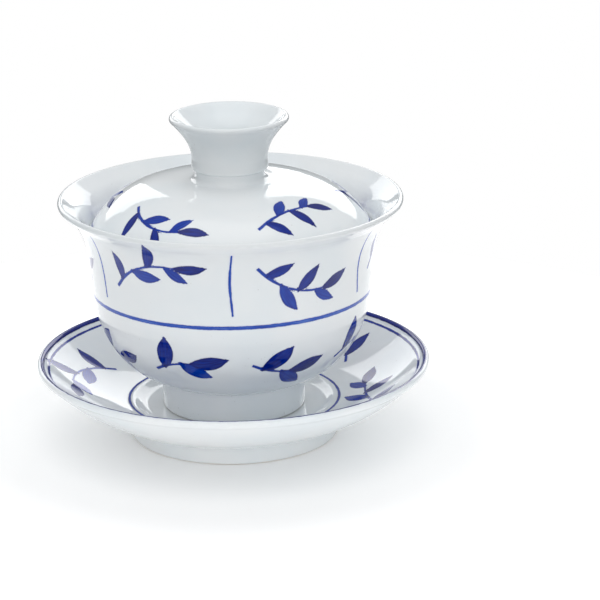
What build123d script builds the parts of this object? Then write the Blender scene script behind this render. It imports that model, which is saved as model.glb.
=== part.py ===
"""Gaiwan, a lidded tea bowl on its saucer, in millimetres.

Three loose pieces stand in one stack about the vertical axis: a saucer, a bowl and a lid.
Each is thrown in two parts that are luted together while the clay is soft: the saucer's dish
and foot ring, the bowl's body and foot ring, and the lid's dome and its ring-shaped knob.
The origin is the centre of the circle that the saucer's foot ring stands on.
Outlines are drawn as (radius, height) and turned about the vertical axis.
"""
from build123d import *
from math import hypot
import os

# Bowl foot ring, heights above its own standing edge
bowl_foot_height = 9.0
bowl_foot_radius = 20.2
bowl_foot_taper = 0.5
bowl_foot_width = 2.8
bowl_foot_rounding = 0.5

# Bowl body: its waist is the upright part of its side, its hip the round of its belly
bowl_height = 60.9
bowl_waist_radius = 40.2
bowl_heel_ledge = 0.25
bowl_hip_inset = 10.6
bowl_hip_height = 13.6
bowl_side_inset = 2.8
bowl_neck_flare = 2.2
bowl_neck_drop = 8.5
bowl_shoulder_flare = 4.8
bowl_shoulder_drop = 3.8
bowl_rim_flare = 8.3
bowl_floor_wall = 3.6
bowl_wall = 1.9
bowl_lip_width = 1.7

# Saucer dish, heights above the table
saucer_radius = 56.2
saucer_rim_height = 21.2
saucer_lip_width = 1.9
saucer_lip_tilt = 0.4
saucer_floor_thickness = 3.2
saucer_well_wall = 4.5
saucer_well_depth = 1.4
saucer_underside_sag = 2.0
saucer_inside_sag = 2.2
saucer_heel_ledge = 0.4

# Saucer foot ring
saucer_foot_height = 5.2
saucer_foot_radius = 29.8
saucer_foot_taper = 0.7
saucer_foot_width = 2.8
saucer_foot_rounding = 0.6

# Lid dome, heights above its own lowest edge
lid_dome_height = 14.8
lid_shoulder_inset = 9.1
lid_shoulder_height = 10.6
lid_crown_width = 4.0
lid_crown_fall = 0.1
lid_wall = 2.1
lid_edge_width = 1.7
lid_edge_inset = 0.25

# Collar that the knob is luted to
collar_radius = 9.9
collar_height = 3.2
collar_wall = 2.3
collar_fillet = 1.6
collar_floor_height = 1.2

# Knob, heights above its own lower face, radii beyond that face's
knob_height = 15.0
knob_ledge = 1.0
knob_waist_inset = 0.15
knob_waist_height = 2.8
knob_neck_flare = 1.3
knob_neck_height = 8.3
knob_mouth_flare = 3.8
knob_mouth_height = 11.8
knob_lip_flare = 5.7
knob_lip_drop = 1.2
knob_wall = 2.3
knob_lip_width = 1.6
knob_foot_rounding = 0.7

# Fits between the loose pieces
well_clearance = 3.8
lid_clearance = 0.3
lid_seat_drop = 8.3

# Places that more than one piece takes
saucer_floor = saucer_foot_height + saucer_floor_thickness
bowl_rim_height = saucer_floor + bowl_height
lid_seat_height = bowl_rim_height - lid_seat_drop
lid_base = lid_seat_height - lid_edge_width / 2
lid_top = lid_base + lid_dome_height
knob_base = lid_top + collar_height

# Shape of curves: where the side and the waist come between hip and neck, and what a
# quarter circle's middle keeps of its corner
SIDE_PLACE = 0.28
WAIST_PLACE = 0.68
ROUND = 1 - 0.5**0.5


def inset(points, walls):
    """Points set in from an open line, each by its wall, square to the line there."""
    inner = []
    for index, (radius, height) in enumerate(points):
        before = points[max(index - 1, 0)]
        after = points[min(index + 1, len(points) - 1)]
        run = after[0] - before[0]
        rise = after[1] - before[1]
        length = hypot(run, rise)
        wall = walls[index]
        inner.append((radius - wall * rise / length, height + wall * run / length))
    return inner


def bowed(start, end, sag):
    """Arc from start to end that hangs below its chord by the sag."""
    run = end[0] - start[0]
    rise = end[1] - start[1]
    length = hypot(run, rise)
    middle = (
        (start[0] + end[0]) / 2 + sag * rise / length,
        (start[1] + end[1]) / 2 - sag * run / length,
    )
    return ThreePointArc(start, middle, end)


def lip(outer_edge, inner_edge):
    """Half round that closes the wall between its two faces."""
    width = hypot(outer_edge[0] - inner_edge[0], outer_edge[1] - inner_edge[1])
    along = ((outer_edge[0] - inner_edge[0]) / width, (outer_edge[1] - inner_edge[1]) / width)
    crest = (
        (outer_edge[0] + inner_edge[0]) / 2 - along[1] * width / 2,
        (outer_edge[1] + inner_edge[1]) / 2 + along[0] * width / 2,
    )
    return ThreePointArc(outer_edge, crest, inner_edge)


def turned(outline):
    """Solid of a closed outline turned about the vertical axis."""
    return revolve(Plane.XZ * make_face(outline.edges()), Axis.Z)


def foot_ring(bottom, height, radius, taper, width, rounding):
    """Ring that a piece stands on: wider at its top, with its lower corners rounded."""
    top = bottom + height
    inner = radius - width
    section = make_face(
        Polyline(
            (inner, bottom),
            (radius, bottom),
            (radius + taper, top),
            (inner, top),
            close=True,
        ).edges()
    )
    corners = section.vertices().group_by(Axis.Y)[0]
    return revolve(Plane.XZ * fillet(corners, rounding), Axis.Z)


def radius_at(curve, height):
    """Radius of a line, whose height grows along it, at one height."""
    low = 0.0
    high = 1.0
    for _ in range(40):
        middle = (low + high) / 2
        if curve.position_at(middle).Y < height:
            low = middle
        else:
            high = middle
    return curve.position_at(low).X


def quarter_round(start, end, corner):
    """Quarter of a circle from start to end that bends towards the corner of their square."""
    middle = (
        corner[0] + (start[0] + end[0] - 2 * corner[0]) * ROUND,
        corner[1] + (start[1] + end[1] - 2 * corner[1]) * ROUND,
    )
    return ThreePointArc(start, middle, end)


def saucer_dish():
    """Dish with a shallow well that the bowl stands in."""
    heel = (saucer_foot_radius + saucer_foot_taper + saucer_heel_ledge, saucer_foot_height)
    rim_outer = (saucer_radius, saucer_rim_height)
    rim_inner = (saucer_radius - saucer_lip_width, saucer_rim_height + saucer_lip_tilt)
    well_foot = (bowl_foot_radius + well_clearance, saucer_floor)
    well_edge = (well_foot[0] + saucer_well_wall, saucer_floor + saucer_well_depth)
    outline = (
        Line((0, saucer_foot_height), heel)
        + bowed(heel, rim_outer, saucer_underside_sag)
        + lip(rim_outer, rim_inner)
        + bowed(well_edge, rim_inner, saucer_inside_sag)
        + Spline(well_foot, well_edge, tangents=[(1, 0), (1, 0.55)])
        + Line(well_foot, (0, saucer_floor))
        + Line((0, saucer_floor), (0, saucer_foot_height))
    )
    return turned(outline)


def bowl_stations():
    """Outside of the bowl from its heel to its rim, and the wall at each place."""
    heel_radius = bowl_foot_radius + bowl_foot_taper + bowl_heel_ledge
    heel_height = saucer_floor + bowl_foot_height
    hip_height = saucer_floor + bowl_hip_height
    neck_height = bowl_rim_height - bowl_neck_drop
    rise = neck_height - hip_height
    outside = [
        (heel_radius, heel_height),
        (bowl_waist_radius - bowl_hip_inset, hip_height),
        (bowl_waist_radius - bowl_side_inset, hip_height + SIDE_PLACE * rise),
        (bowl_waist_radius, hip_height + WAIST_PLACE * rise),
        (bowl_waist_radius + bowl_neck_flare, neck_height),
        (bowl_waist_radius + bowl_shoulder_flare, bowl_rim_height - bowl_shoulder_drop),
        (bowl_waist_radius + bowl_rim_flare, bowl_rim_height - bowl_lip_width / 2),
    ]
    walls = [bowl_floor_wall] * 2 + [bowl_wall] * 4 + [bowl_lip_width]
    return outside, walls


def bowl_inside():
    """Line of the bowl's inside from its floor to its rim."""
    outside, walls = bowl_stations()
    inside = inset(outside, walls)
    return Spline([(0, inside[0][1])] + inside[1:], tangents=[(1, 0), (1, 0.9)])


def bowl_body():
    """Flared bowl, closed below by the floor that the foot ring is luted to."""
    outside, walls = bowl_stations()
    heel = outside[0]
    inside = inset(outside, walls)
    outline = (
        Line((0, heel[1]), heel)
        + Spline(outside, tangents=[(1, 0.35), (1, 0.9)])
        + lip(outside[-1], inside[-1])
        + bowl_inside()
        + Line((0, inside[0][1]), (0, heel[1]))
    )
    return turned(outline)


def lid_dome():
    """Low dome whose rounded edge seats in the bowl's flare, with a collar in its middle."""
    lid_radius = radius_at(bowl_inside(), lid_seat_height) - lid_clearance
    edge = (lid_radius - lid_edge_inset, lid_seat_height + lid_edge_width / 4)
    shoulder = (lid_radius - lid_shoulder_inset, lid_base + lid_shoulder_height)
    collar_foot = (collar_radius + collar_fillet, lid_top)
    crown = (collar_foot[0] + lid_crown_width, lid_top - lid_crown_fall)
    inside = inset([edge, shoulder, crown], [lid_edge_width, lid_wall, lid_wall])
    under = inside[2]
    recess = collar_radius - collar_wall
    outline = (
        Spline([edge, shoulder, crown, collar_foot], tangents=[(-0.65, 1), (-1, 0)])
        + quarter_round(
            collar_foot, (collar_radius, lid_top + collar_fillet), (collar_radius, lid_top)
        )
        + Polyline(
            (collar_radius, lid_top + collar_fillet),
            (collar_radius, knob_base),
            (recess, knob_base),
            (recess, lid_top + collar_floor_height),
            (0, lid_top + collar_floor_height),
            (0, under[1]),
            under,
        )
        + Spline(inside, tangents=[(-0.65, 1), (-1, 0)])
        + lip(inside[0], edge)
    )
    return turned(outline)


def lid_knob():
    """Hollow flared ring, closed below by the lid's own dome."""
    radius = collar_radius + knob_ledge
    rounding = knob_foot_rounding
    outside = [
        (radius, knob_base + rounding),
        (radius - knob_waist_inset, knob_base + knob_waist_height),
        (radius + knob_neck_flare, knob_base + knob_neck_height),
        (radius + knob_mouth_flare, knob_base + knob_mouth_height),
        (radius + knob_lip_flare, knob_base + knob_height - knob_lip_drop),
    ]
    inside = inset(outside, [knob_wall] * 3 + [knob_lip_width] * 2)
    bore = (radius - knob_wall, knob_base)
    corner = (radius - rounding, knob_base)
    outline = (
        Line(bore, corner)
        + quarter_round(corner, outside[0], (radius, knob_base))
        + Spline(outside, tangents=[(0, 1), (1, 0.9)])
        + lip(outside[-1], inside[-1])
        + Spline([bore] + inside[1:], tangents=[(0, 1), (1, 0.9)])
    )
    return turned(outline)


def pieces():
    """Every piece under its own name."""
    return {
        "saucer_dish": saucer_dish(),
        "saucer_foot_ring": foot_ring(
            0.0,
            saucer_foot_height,
            saucer_foot_radius,
            saucer_foot_taper,
            saucer_foot_width,
            saucer_foot_rounding,
        ),
        "bowl_body": bowl_body(),
        "bowl_foot_ring": foot_ring(
            saucer_floor,
            bowl_foot_height,
            bowl_foot_radius,
            bowl_foot_taper,
            bowl_foot_width,
            bowl_foot_rounding,
        ),
        "lid_dome": lid_dome(),
        "lid_knob": lid_knob(),
    }


os.makedirs("parts", exist_ok=True)
for name, solid in pieces().items():
    solid.label = name
    export_step(solid, f"parts/{name}.step")
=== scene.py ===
"""Gaiwan: a lidded porcelain tea bowl on its saucer, with blue brushwork under a clear glaze."""
import math
import bpy
import numpy as np
from mathutils import Matrix, Vector


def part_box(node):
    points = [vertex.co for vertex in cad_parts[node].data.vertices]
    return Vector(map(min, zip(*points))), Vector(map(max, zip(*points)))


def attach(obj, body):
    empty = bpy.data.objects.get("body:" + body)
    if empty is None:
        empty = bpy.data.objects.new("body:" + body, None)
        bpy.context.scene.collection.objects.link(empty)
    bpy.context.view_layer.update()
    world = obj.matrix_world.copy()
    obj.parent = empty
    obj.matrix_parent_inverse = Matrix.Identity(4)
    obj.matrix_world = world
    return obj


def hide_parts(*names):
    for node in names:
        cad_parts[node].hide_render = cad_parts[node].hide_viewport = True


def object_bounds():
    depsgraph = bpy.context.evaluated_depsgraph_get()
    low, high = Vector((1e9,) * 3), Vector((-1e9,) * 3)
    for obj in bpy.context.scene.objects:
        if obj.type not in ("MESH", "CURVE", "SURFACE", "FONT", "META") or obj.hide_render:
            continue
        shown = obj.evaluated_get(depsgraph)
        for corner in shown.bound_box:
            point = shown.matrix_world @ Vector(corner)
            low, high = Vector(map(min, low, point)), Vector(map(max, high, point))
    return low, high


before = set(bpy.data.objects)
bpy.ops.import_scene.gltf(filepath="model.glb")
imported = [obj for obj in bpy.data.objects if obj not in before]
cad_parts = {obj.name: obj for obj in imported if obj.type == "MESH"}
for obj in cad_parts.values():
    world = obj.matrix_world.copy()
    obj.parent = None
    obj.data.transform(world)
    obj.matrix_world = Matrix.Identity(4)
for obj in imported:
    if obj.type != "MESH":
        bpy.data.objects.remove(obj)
cad_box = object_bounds()
MM = 0.001

# ---------------------------------------------------------------- profiles, read from the CAD


def meridian(node):
    """The node's outline as (r, z) in mm, where it meets the half-plane y = 0, x > 0, and if it closes."""
    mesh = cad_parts[node].data
    co = np.empty(len(mesh.vertices) * 3)
    mesh.vertices.foreach_get("co", co)
    co = co.reshape(-1, 3) / MM
    on = (np.abs(co[:, 1]) < 1e-3) & (co[:, 0] > -1e-3)
    places = {}
    points = []
    index = {}
    for i in np.nonzero(on)[0]:
        key = (round(co[i, 0], 3), round(co[i, 2], 3))
        if key not in places:
            places[key] = len(points)
            points.append((co[i, 0], co[i, 2]))
        index[int(i)] = places[key]
    near = {n: set() for n in range(len(points))}
    for e in mesh.edges:
        a, b = (index.get(v) for v in e.vertices)
        if a is not None and b is not None and a != b:
            near[a].add(b)
            near[b].add(a)
    ends = [n for n in near if len(near[n]) == 1]
    chain = [max(ends, key=lambda n: points[n][1]) if ends else 0]
    seen = set(chain)
    while True:
        onward = [n for n in near[chain[-1]] if n not in seen]
        if not onward:
            break
        chain.append(onward[0])
        seen.add(onward[0])
    line = [points[n] for n in chain]
    if ends:
        # a flat disc has no vertex on the axis, so the outline is carried in to it
        if line[0][0] > 1e-3:
            line.insert(0, (0.0, line[0][1]))
        if line[-1][0] > 1e-3:
            line.append((0.0, line[-1][1]))
    return np.array(line), not ends


def smooth_line(p, closed=False, parts=8):
    """A cubic through the points, with tangents from the points on either side."""
    n = len(p)
    if closed:
        p = np.vstack([p[-1:], p, p[:2]])
    else:
        p = np.vstack([2 * p[:1] - p[1:2], p, 2 * p[-1:] - p[-2:-1]])
    out = []
    for i in range(1, len(p) - 2):
        a, b, c, d = p[i - 1], p[i], p[i + 1], p[i + 2]
        h0, h1, h2 = (max(np.linalg.norm(v), 1e-6) for v in (b - a, c - b, d - c))
        m1 = ((b - a) / h0 * h1 + (c - b) / h1 * h0) / (h0 + h1) * h1
        m2 = ((c - b) / h1 * h2 + (d - c) / h2 * h1) / (h1 + h2) * h1
        for t in np.arange(parts) / parts:
            out.append((2 * t**3 - 3 * t**2 + 1) * b + (t**3 - 2 * t**2 + t) * m1
                       + (3 * t**2 - 2 * t**3) * c + (t**3 - t**2) * m2)
    out.append(p[-2])
    return np.array(out)


def rings(node, fine, coarse, painted):
    """Points along the outline, close together where it is painted, and which of them are corners."""
    p, closed = meridian(node)
    if closed:
        p = np.vstack([p, p[:1]])
    d = np.diff(p, axis=0)
    ang = np.degrees(np.arctan2(d[:, 1], d[:, 0]))
    turn = np.abs((np.diff(ang) + 180) % 360 - 180)
    cuts = [0] + [i + 1 for i, t in enumerate(turn) if t > 38] + [len(p) - 1]
    pts, corner = [], []
    for a, b in zip(cuts[:-1], cuts[1:]):
        q = smooth_line(p[a:b + 1])
        seg = np.diff(q, axis=0)
        length = np.linalg.norm(seg, axis=1)
        mid = (q[1:] + q[:-1]) / 2
        step = np.where([painted(*m) for m in mid], fine, coarse)
        bend = np.arctan2(seg[:, 1], seg[:, 0])
        bend = np.abs((np.diff(bend, prepend=bend[:1]) + math.pi) % (2 * math.pi) - math.pi)
        cost = np.concatenate([[0], np.cumsum(length / step + bend / math.radians(11))])
        n = max(1, math.ceil(cost[-1]))
        at = np.linspace(0, cost[-1], n + 1)
        x = np.interp(at, cost, q[:, 0])
        y = np.interp(at, cost, q[:, 1])
        x[0], y[0], x[-1], y[-1] = *q[0], *q[-1]
        keep = slice(0, -1)
        pts += list(zip(x[keep], y[keep]))
        corner += [True] + [False] * (len(x) - 2)
    if not closed:
        pts.append(tuple(p[-1]))
        corner.append(False)
    return np.array(pts), corner, closed


def turned(name, node, around, fine=1.0, coarse=1.6, painted=lambda r, z: False):
    """A piece turned about the Z axis through the node's outline, as one smooth closed mesh."""
    pts, corner, closed = rings(node, fine, coarse, painted)
    area = np.sum(pts[:, 0] * np.roll(pts[:, 1], -1) - np.roll(pts[:, 0], -1) * pts[:, 1])
    if area < 0:
        pts, corner = pts[::-1], corner[::-1]
    turn = np.arange(around) * 2 * math.pi / around
    verts, rows = [], []
    for r, z in pts:
        if r < 1e-4:
            rows.append([len(verts)] * around)
            verts.append((0, 0, z))
        else:
            rows.append(list(range(len(verts), len(verts) + around)))
            verts += [(r * math.sin(t), -r * math.cos(t), z) for t in turn]
    faces = []
    last = len(rows) if closed else len(rows) - 1
    for i in range(last):
        a, b = rows[i], rows[(i + 1) % len(rows)]
        for j in range(around):
            k = (j + 1) % around
            f = [a[j], a[k], b[k], b[j]]
            if a[j] == a[k]:
                f = [a[j], b[k], b[j]]
            elif b[j] == b[k]:
                f = [a[j], a[k], b[j]]
            faces.append(f)
    mesh = bpy.data.meshes.new(name)
    mesh.from_pydata((np.array(verts) * MM).tolist(), [], faces)
    mesh.validate()
    mesh.polygons.foreach_set("use_smooth", [True] * len(mesh.polygons))
    sharp = {v for row, c in zip(rows, corner) if c for v in row}
    for e in mesh.edges:
        if e.vertices[0] in sharp and e.vertices[1] in sharp:
            e.use_edge_sharp = True
    obj = bpy.data.objects.new(name, mesh)
    bpy.context.scene.collection.objects.link(obj)
    mesh.update()
    return obj


# ---------------------------------------------------------------- brushwork
# Each stroke is (ink, points), and a point is (azimuth, place, half-width): azimuth in degrees from
# the front towards the right, place in mm (height on the bowl, radius on the lid and the saucer),
# half-width in mm. The sprigs are a plain stock pattern, laid out in even panels around each piece.


def leaf(at, place, radius, heading, length, width, ink):
    """One brush leaf: pressed down broad, then drawn out to a point, turning a little as it goes."""
    turn, bend = math.radians(heading), math.radians(22)
    u = v = 0.0
    points = []
    for share, half in ((0, 0.22), (0.25, 0.8), (0.30, 1.0), (0.25, 0.62), (0.20, 0.08)):
        turn += bend * share
        u += length * share * math.cos(turn)
        v += length * share * math.sin(turn)
        points.append((at + math.degrees(u / radius), place + v, half * width))
    return ink, points


def sprig(at, place, radius, heading, bend, length, leaves, leaf_length, leaf_width):
    """A thin bent stem with leaves on alternate sides and one at its tip. Lengths are in mm."""
    steps = 2 * leaves
    u = v = 0.0
    stem, strokes = [], []
    for i in range(steps + 1):
        course = heading + bend * (i / steps - 0.5)
        here = (at + math.degrees(u / radius), place + v)
        stem.append((*here, 0.42 - 0.2 * i / steps))
        side = 1 if i % 4 == 1 else -1
        grown = 0.72 + 0.28 * math.sin(math.pi * (i + 1) / (steps + 1))
        if i == steps:
            strokes.append(leaf(*here, radius, course, leaf_length, leaf_width * 0.9, 0.95))
        elif i % 2 == 1:
            strokes.append(leaf(*here, radius, course + 46 * side, leaf_length * grown,
                                leaf_width * grown, 0.80 + 0.08 * side))
        u += length / steps * math.cos(math.radians(course))
        v += length / steps * math.sin(math.radians(course))
    return [(0.65, stem)] + strokes


def band(count, start, place, radius, lean, bend, length, leaves, leaf_length, leaf_width, drift=0.0):
    """Sprigs in even panels around a piece, the first leaning up, the next down, and so on."""
    strokes = []
    for k in range(count):
        way = 1 if k % 2 == 0 else -1
        strokes += sprig(start + 360 / count * k, place - way * drift, radius, way * lean, -way * bend,
                         length, leaves, leaf_length, leaf_width)
    return strokes


def uprights(count, start, low, high):
    """Thin lines that part the panels of a band."""
    middle = (low + high) / 2
    return [(0.5, [(at, low, 0.28), (at - 0.9, middle, 0.34), (at, high, 0.18)])
            for at in (start + 360 / count * k for k in range(count))]


BOWL = (band(6, start=-50, place=56.5, radius=42, lean=18, bend=55, length=23, leaves=4,
             leaf_length=9.0, leaf_width=1.75, drift=4.0)
        + uprights(6, start=-60, low=47.5, high=65.5)
        + band(8, start=-36, place=30.0, radius=34, lean=12, bend=30, length=11, leaves=2,
               leaf_length=9.5, leaf_width=2.5, drift=1.2))
LID = band(5, start=-58, place=31.5, radius=31, lean=10, bend=45, length=19, leaves=4,
           leaf_length=7.5, leaf_width=1.55, drift=1.5)
SAUCER = band(6, start=-117, place=42.0, radius=43, lean=12, bend=50, length=25, leaves=4,
              leaf_length=9.5, leaf_width=2.2, drift=2.5)


def hoop(ink, place, half):
    """A line right round a piece, with the small rise and fall of a brush held against the wheel."""
    return ink, [(-180, place, half), (-90, place - 0.08, half), (0, place + 0.05, half), (90, place, half)]


BOWL_RINGS = [hoop(0.50, 43.5, 0.50)]
SAUCER_RINGS = [hoop(0.95, 54.7, 0.75), hoop(0.8, 53.1, 0.33), hoop(0.7, 30.3, 0.34)]
LID_RINGS = [hoop(0.75, 39.3, 0.4)]

# where the brush can reach, in mm
BOWL_FOOT_RADIUS = 20.9
BOWL_LOW, BOWL_LIP = 17.6, 69.6
COLLAR_RADIUS, COLLAR_TOP = 11, 75.2


def surface(node, side):
    """The painted side of a node as matching lists of r and z in mm, and whether a place on it is a z."""
    p, _ = meridian(node)
    p = smooth_line(p)
    if side == "bowl":
        top = int(np.argmax(p[:, 1]))
        edge = int(np.argmax(p[:, 0]))
        q = p[max(top, edge):]
        q = q[q[:, 0] > BOWL_FOOT_RADIUS]
        q = q[np.argsort(q[:, 1])]
        return q[:, 0], q[:, 1], True
    if side == "lid":
        rim = int(np.argmax(p[:, 0]))
        q = p[:rim]
        q = q[(q[:, 0] > COLLAR_RADIUS) & (q[:, 1] < COLLAR_TOP)]
    else:
        rim = int(np.argmax(p[:, 1]))
        q = p[:rim]
        q = q[q[:, 0] > 0.1]
    q = q[np.argsort(q[:, 0])]
    return q[:, 0], q[:, 1], False


def brush(obj, node, side, strokes, loops):
    """Writes, on each vertex, where it lies against the nearest stroke: all in mm."""
    rr, zz, by_height = surface(node, side)
    mesh = obj.data
    n = len(mesh.vertices)
    co = np.empty(n * 3)
    no = np.empty(n * 3)
    mesh.vertices.foreach_get("co", co)
    mesh.vertices.foreach_get("normal", no)
    co, no = co.reshape(-1, 3) / MM, no.reshape(-1, 3)
    if side == "bowl":
        face = (no * co * [1, 1, 0]).sum(axis=1) > 0
        face |= co[:, 2] > BOWL_LIP
        face &= co[:, 2] > BOWL_LOW
    else:
        face = no[:, 2] > 0.05
    gap = np.full(n, 9.0)
    over = np.full(n, 9.0)
    s_at = np.full(n, 9.0)
    d_at = np.full(n, 9.0)
    w_at = np.full(n, 0.2)
    along = np.zeros(n)
    ink_at = np.zeros(n)
    jobs = [(s, False) for s in strokes] + [(s, True) for s in loops]
    for number, ((ink, pts), loop) in enumerate(jobs):
        full, width = [], 0.3
        for p in pts:
            width = p[2] if len(p) > 2 else width
            full.append((p[0], p[1], width))
        if loop:
            full.append((full[0][0] + 360, *full[0][1:]))
        q = np.array(full)
        scale = np.array([0.7, 1.0, 1.0])
        q = smooth_line(q * scale, parts=24 if loop else 8) / scale
        az, v, w = np.radians(q[:, 0]), q[:, 1], np.maximum(q[:, 2], 0.03)
        r = np.interp(v, zz if by_height else rr, rr)
        z = np.interp(v, zz if by_height else rr, zz)
        line = np.stack([r * np.sin(az), -r * np.cos(az), z], axis=1)
        run = np.concatenate([[0], np.cumsum(np.linalg.norm(np.diff(line, axis=0), axis=1))])
        for i in range(len(line) - 1):
            a, b = line[i], line[i + 1]
            reach = w[i] + 3.2
            low, high = np.minimum(a, b) - reach, np.maximum(a, b) + reach
            hit = np.nonzero(face & ((co > low) & (co < high)).all(axis=1))[0]
            if not len(hit):
                continue
            ab = b - a
            size = max(float(ab @ ab), 1e-9)
            t = np.clip((co[hit] - a) @ ab / size, 0, 1)
            off = co[hit] - (a + t[:, None] * ab)
            dist = np.linalg.norm(off, axis=1)
            unit = ab / math.sqrt(size)
            flat = off - (off @ unit)[:, None] * unit
            hand = np.sign(np.einsum("ij,ij->i", np.cross(unit, off), no[hit]))
            half = w[i] + t * (w[i + 1] - w[i])
            g = dist - half
            mine = along[hit] // 1000 == number + 1
            better = g < gap[hit]
            moved = better & ~mine
            over[hit[moved]] = gap[hit[moved]]
            other = ~better & ~mine & (g < over[hit])
            over[hit[other]] = g[other]
            k = hit[better]
            gap[k] = g[better]
            s_at[k] = (hand * np.linalg.norm(flat, axis=1))[better]
            d_at[k] = dist[better]
            w_at[k] = half[better]
            along[k] = ((number + 1) * 1000 + run[i] + t * math.sqrt(size))[better]
            ink_at[k] = ink
    for name, values in (("across", s_at), ("reach", d_at), ("half", w_at), ("along", along), ("ink", ink_at),
                         ("over", over)):
        mesh.attributes.new(name, "FLOAT", "POINT").data.foreach_set("value", values.astype(np.float32))


# ---------------------------------------------------------------- materials


class Nodes:
    """Short names for building a material's nodes."""

    def __init__(self, name):
        self.mat = bpy.data.materials.new(name)
        self.mat.use_nodes = True
        self.tree = self.mat.node_tree
        self.shader = next(n for n in self.tree.nodes if n.type == "BSDF_PRINCIPLED")

    def add(self, kind, **sets):
        node = self.tree.nodes.new(kind)
        for key, value in sets.items():
            setattr(node, key, value)
        return node

    def wire(self, out, into):
        self.tree.links.new(out, into)

    def put(self, socket, value):
        if hasattr(value, "is_output"):
            self.wire(value, socket)
        else:
            socket.default_value = value

    def math(self, op, a, b=0.0, c=0.0):
        node = self.add("ShaderNodeMath", operation=op)
        for socket, value in zip(node.inputs, (a, b, c)):
            self.put(socket, value)
        return node.outputs[0]

    def ease(self, x, low, high, to_low=0.0, to_high=1.0):
        node = self.add("ShaderNodeMapRange", interpolation_type="SMOOTHSTEP")
        for socket, value in zip(node.inputs, (x, low, high, to_low, to_high)):
            self.put(socket, value)
        return node.outputs[0]

    def attr(self, name):
        return self.add("ShaderNodeAttribute", attribute_name=name).outputs["Fac"]

    def noise(self, vector, scale, detail=2.0, rough=0.5):
        node = self.add("ShaderNodeTexNoise")
        self.wire(vector, node.inputs["Vector"])
        node.inputs["Scale"].default_value = scale
        node.inputs["Detail"].default_value = detail
        node.inputs["Roughness"].default_value = rough
        return node.outputs[0]

    def mix(self, fac, a, b):
        node = self.add("ShaderNodeMix", data_type="RGBA")
        self.put(node.inputs[0], fac)
        self.put(node.inputs[6], a)
        self.put(node.inputs[7], b)
        return node.outputs[2]


WHITE = (0.865, 0.89, 0.90, 1)


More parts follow.
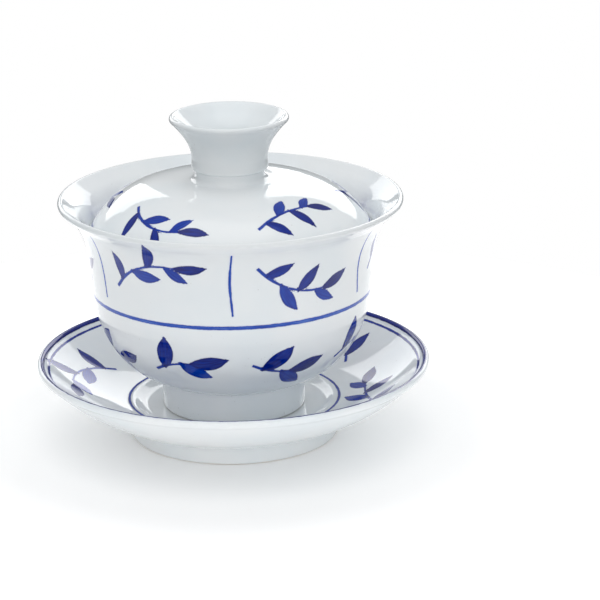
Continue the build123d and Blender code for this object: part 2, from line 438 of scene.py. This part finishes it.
def glaze(name, painted=False, foot=None):
    """Clear feldspar glaze over white porcelain, with cobalt under it. foot is the height in metres below
    which the ring was wiped bare before firing."""
    m = Nodes(name)
    where = m.add("ShaderNodeTexCoord").outputs["Object"]
    # the body: faint cloudy tint, a few iron specks, glaze pooling bluer in the hollows, with painted shade
    # darkening the same hollows
    cloud = m.noise(where, 38, 3, 0.55)
    base = m.mix(m.ease(cloud, 0.35, 0.68), WHITE, (0.815, 0.862, 0.885, 1))
    speck = m.noise(where, 2100, 0)
    seldom = m.noise(where, 90, 0)
    dot = m.math("MULTIPLY", m.ease(speck, 0.815, 0.84), m.ease(seldom, 0.60, 0.66))
    base = m.mix(m.math("MULTIPLY", dot, 0.35), base, (0.30, 0.26, 0.22, 1))
    # painted shade: concave places found by pointiness are darkened towards a grey blue, partly standing for
    # thicker glaze pooling there
    hollow_pool_and_shade = m.add("ShaderNodeNewGeometry").outputs["Pointiness"]
    base = m.mix(m.ease(hollow_pool_and_shade, 0.495, 0.44, 0.0, 0.30), base, (0.66, 0.75, 0.80, 1))
    if painted:
        across, reach, half = m.attr("across"), m.attr("reach"), m.attr("half")
        along, ink, over = m.attr("along"), m.attr("ink"), m.attr("over")
        hair = m.noise(where, 1500, 2, 0.6)
        waver = m.noise(where, 330, 2, 0.5)
        slack = m.ease(half, 0.45, 0.85, 0.32, 0.0)
        dist = m.math("MAXIMUM", m.math("ABSOLUTE", across), m.math("SUBTRACT", reach, slack))
        dist = m.math("SUBTRACT", m.math("SUBTRACT", dist, half), 0.06)
        dist = m.math("ADD", dist, m.math("MULTIPLY", m.math("SUBTRACT", hair, 0.5), 0.16))
        dist = m.math("ADD", dist, m.math("MULTIPLY", m.math("SUBTRACT", waver, 0.5), 0.30))
        cover = m.ease(dist, 0.11, -0.13)
        lane = m.add("ShaderNodeCombineXYZ")
        m.wire(m.math("MULTIPLY", along, 0.11), lane.inputs[0])
        m.wire(m.math("MULTIPLY", across, 1.5), lane.inputs[1])
        streak = m.noise(lane.outputs[0], 1.6, 4, 0.62)
        load = m.math("ADD", ink, m.math("MULTIPLY", m.math("SUBTRACT", streak, 0.5), 0.75))
        load = m.math("ADD", load, m.math("MULTIPLY", m.math("SUBTRACT", cloud, 0.5), 0.35))
        load = m.math("ADD", load, m.ease(dist, -0.60, -0.12, 0.0, 0.10))
        load = m.math("ADD", load, m.ease(over, 0.05, -0.25, 0.0, 0.30))
        ramp = m.add("ShaderNodeValToRGB")
        stops = ((0.0, (0.36, 0.48, 0.76)), (0.30, (0.085, 0.19, 0.58)), (0.55, (0.002, 0.060, 0.44)),
                 (0.80, (0.0, 0.024, 0.30)), (1.0, (0.0, 0.006, 0.15)))
        e = ramp.color_ramp.elements
        while len(e) < len(stops):
            e.new(0.5)
        for item, (at, colour) in zip(e, stops):
            item.position = at
            item.color = (*colour, 1)
        m.wire(load, ramp.inputs[0])
        bleed = m.ease(dist, 0.75, 0.05, 0.0, 0.10)
        base = m.mix(bleed, base, (0.38, 0.47, 0.76, 1))
        base = m.mix(cover, base, ramp.outputs[0])
    rough = m.ease(m.noise(where, 220, 2), 0.3, 0.7, 0.035, 0.075)
    if foot is not None:
        z = m.add("ShaderNodeSeparateXYZ")
        m.wire(where, z.inputs[0])
        edge = m.math("MULTIPLY", m.math("SUBTRACT", m.noise(where, 260, 2), 0.5), 0.0005)
        bare = m.ease(m.math("ADD", z.outputs[2], edge), foot + 0.00012, foot - 0.00012)
        grit = m.noise(where, 2600, 3, 0.7)
        clay = m.mix(grit, (0.70, 0.66, 0.60, 1), (0.82, 0.79, 0.74, 1))
        base = m.mix(bare, base, clay)
        rough = m.math("ADD", rough, m.math("MULTIPLY", bare, 0.6))
    s = m.shader.inputs
    m.wire(base, s["Base Color"])
    m.wire(rough, s["Roughness"])
    s["IOR"].default_value = 1.50
    s["Specular IOR Level"].default_value = 0.34
    # the glaze is never quite flat: slow waves from the flow, and a fine orange peel
    wave = m.noise(where, 42, 1, 0.4)
    peel = m.noise(where, 520, 1, 0.4)
    bump = m.add("ShaderNodeBump")
    bump.inputs["Distance"].default_value = 0.00080
    bump.inputs["Strength"].default_value = 0.60
    fine = m.add("ShaderNodeBump")
    fine.inputs["Distance"].default_value = 0.00002
    fine.inputs["Strength"].default_value = 0.22
    m.wire(wave, bump.inputs["Height"])
    m.wire(peel, fine.inputs["Height"])
    m.wire(bump.outputs[0], fine.inputs["Normal"])
    m.wire(fine.outputs[0], s["Normal"])
    return m.mat


# ---------------------------------------------------------------- pieces

BOWL_R, BOWL_Z, _ = surface("bowl_body", "bowl")
SAUCER_R, SAUCER_Z, _ = surface("saucer_dish", "saucer")
LID_R, LID_Z, _ = surface("lid_dome", "lid")


def on_bowl(r, z):
    """Whether a place on the bowl's outline is on its painted outside."""
    return z > 19 and r > np.interp(z, BOWL_Z, BOWL_R) - 0.6


def on_saucer(r, z):
    """Whether a place on the saucer's outline is on its painted top."""
    return r > 28 and z > np.interp(r, SAUCER_R, SAUCER_Z) - 0.6


def on_lid(r, z):
    """Whether a place on the lid's outline is on its painted top."""
    return r > 16 and z > np.interp(r, LID_R, LID_Z) - 0.5


# name, node, body, points around, and the spacing of points along the outline in mm
PIECES = (
    ("bowl", "bowl_body", "bowl", 480, dict(fine=.52, coarse=2.2, painted=on_bowl)),
    ("bowl_foot", "bowl_foot_ring", "bowl", 160, dict(fine=1, coarse=1.2)),
    ("saucer", "saucer_dish", "saucer", 560, dict(fine=.52, coarse=1.3, painted=on_saucer)),
    ("saucer_foot", "saucer_foot_ring", "saucer", 200, dict(fine=1, coarse=1.2)),
    ("lid", "lid_dome", "lid", 480, dict(fine=.52, coarse=1.8, painted=on_lid)),
    ("lid_knob", "lid_knob", "lid", 160, dict(fine=1, coarse=.6)),
)

made = {}
for name, node, body, around, how in PIECES:
    piece = turned(name, node, around, **how)
    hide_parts(node)
    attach(piece, body)
    made[name] = piece

brush(made["bowl"], "bowl_body", "bowl", BOWL, BOWL_RINGS)
brush(made["lid"], "lid_dome", "lid", LID, LID_RINGS)
brush(made["saucer"], "saucer_dish", "saucer", SAUCER, SAUCER_RINGS)

blue_white = glaze("blue_and_white_glaze", painted=True)
white_glaze = glaze("white_glaze")
BARE = 0.2 * MM
bare_saucer = glaze("foot_glaze_saucer", foot=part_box("saucer_foot_ring")[0][2] + BARE)
bare_bowl = glaze("foot_glaze_bowl", foot=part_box("bowl_foot_ring")[0][2] + BARE)
for name, mat in (("bowl", blue_white), ("lid", blue_white), ("saucer", blue_white),
                  ("lid_knob", white_glaze), ("bowl_foot", bare_bowl), ("saucer_foot", bare_saucer)):
    made[name].data.materials.append(mat)

# ---------------------------------------------------------------- floor, light and camera

floor_mesh = bpy.data.meshes.new("floor")
FLOOR_RADIUS, FLOOR_SIDES = 0.185, 96
floor_turns = [t * 2 * math.pi / FLOOR_SIDES for t in range(FLOOR_SIDES)]
floor_ring = [(FLOOR_RADIUS * math.cos(t), FLOOR_RADIUS * math.sin(t), 0) for t in floor_turns]
floor_mesh.from_pydata(floor_ring, [], [tuple(range(FLOOR_SIDES))])
floor = bpy.data.objects.new("floor", floor_mesh)
floor.location.z = cad_box[0][2] - 0.0001
bpy.context.scene.collection.objects.link(floor)
pale = Nodes("pale_floor")
pale.shader.inputs["Base Color"].default_value = (0.93, 0.93, 0.93, 1)
pale.shader.inputs["Roughness"].default_value = 0.9
pale.shader.inputs["Emission Color"].default_value = (1, 1, 1, 1)
length = pale.add("ShaderNodeVectorMath", operation="LENGTH")
pale.wire(pale.add("ShaderNodeTexCoord").outputs["Object"], length.inputs[0])
# the floor glows away from the piece, so that it runs out into the white around it
glow = pale.ease(length.outputs["Value"], 0.066, 0.125, 0.10, 0.70)
pale.wire(glow, pale.shader.inputs["Emission Strength"])
floor_mesh.materials.append(pale.mat)

world = bpy.data.worlds.new("studio")
bpy.context.scene.world = world
world.use_nodes = True
tree = world.node_tree
tree.nodes.clear()
out = tree.nodes.new("ShaderNodeOutputWorld")
to_camera = tree.nodes.new("ShaderNodeBackground")
to_camera.inputs[0].default_value = (1, 1, 1, 1)
around_it = tree.nodes.new("ShaderNodeBackground")
coord = tree.nodes.new("ShaderNodeTexCoord")
split = tree.nodes.new("ShaderNodeSeparateXYZ")
tree.links.new(coord.outputs["Generated"], split.inputs[0])
sky = tree.nodes.new("ShaderNodeValToRGB")
tree.links.new(split.outputs[2], sky.inputs[0])
shades = ((0.0, (0.10, 0.105, 0.11)), (0.09, (0.12, 0.125, 0.13)), (0.24, (0.47, 0.475, 0.48)),
          (1.0, (0.80, 0.805, 0.81)))
while len(sky.color_ramp.elements) < len(shades):
    sky.color_ramp.elements.new(0.5)
for item, (at, colour) in zip(sky.color_ramp.elements, shades):
    item.position = at
    item.color = (*colour, 1)
tree.links.new(sky.outputs[0], around_it.inputs[0])
path = tree.nodes.new("ShaderNodeLightPath")
pick = tree.nodes.new("ShaderNodeMixShader")
tree.links.new(path.outputs["Is Camera Ray"], pick.inputs[0])
tree.links.new(around_it.outputs[0], pick.inputs[1])
tree.links.new(to_camera.outputs[0], pick.inputs[2])
tree.links.new(pick.outputs[0], out.inputs[0])


def softbox(name, at, width, height, radiance, colour=(1, 1, 1), aim=(0, 0, 0.04)):
    """A rectangular soft light facing aim; radiance is what a mirror would show of it."""
    light = bpy.data.lights.new(name, "AREA")
    light.shape = "RECTANGLE"
    light.size, light.size_y = width, height
    light.color = colour
    light.energy = radiance * math.pi * width * height
    obj = bpy.data.objects.new(name, light)
    obj.location = at
    obj.rotation_euler = (Vector(aim) - Vector(at)).to_track_quat("-Z", "Y").to_euler()
    obj.visible_camera = False
    bpy.context.scene.collection.objects.link(obj)
    return obj


softbox("back_right", (0.52, 1.15, 0.50), 0.96, 0.56, 2.7, aim=(0.52, 0, 0.50))
softbox("back_left", (-0.53, 1.15, 0.50), 0.64, 0.56, 2.3, aim=(-0.53, 0, 0.50))
softbox("top", (-0.1, -0.2, 1.4), 1.2, 1.1, 0.8)
softbox("front_left", (-0.55, -1.35, 0.42), 1.0, 0.76, 1.25)
softbox("front_right", (0.70, -1.35, 0.42), 1.1, 0.76, 1.3)

camera_data = bpy.data.cameras.new("camera")
camera_data.sensor_width = 36
camera_data.lens = 170.8
camera_data.clip_start = 0.05
camera_data.clip_end = 20
camera = bpy.data.objects.new("camera", camera_data)
bpy.context.scene.collection.objects.link(camera)
pitch, yaw, roll = 0.3107, 0.024, -0.012
ahead = Vector((math.sin(yaw) * math.cos(pitch), math.cos(yaw) * math.cos(pitch), -math.sin(pitch)))
right = Vector((math.cos(yaw), -math.sin(yaw), 0))
upward = right.cross(ahead)
right_r = math.cos(roll) * right + math.sin(roll) * upward
up_r = -math.sin(roll) * right + math.cos(roll) * upward
camera.matrix_world = Matrix((right_r, up_r, -ahead)).transposed().to_4x4()
camera.location = (0.0007, -0.7749, 0.2874)
bpy.context.scene.camera = camera

bpy.context.scene.view_settings.view_transform = "Standard"
bpy.context.scene.view_settings.look = "None"
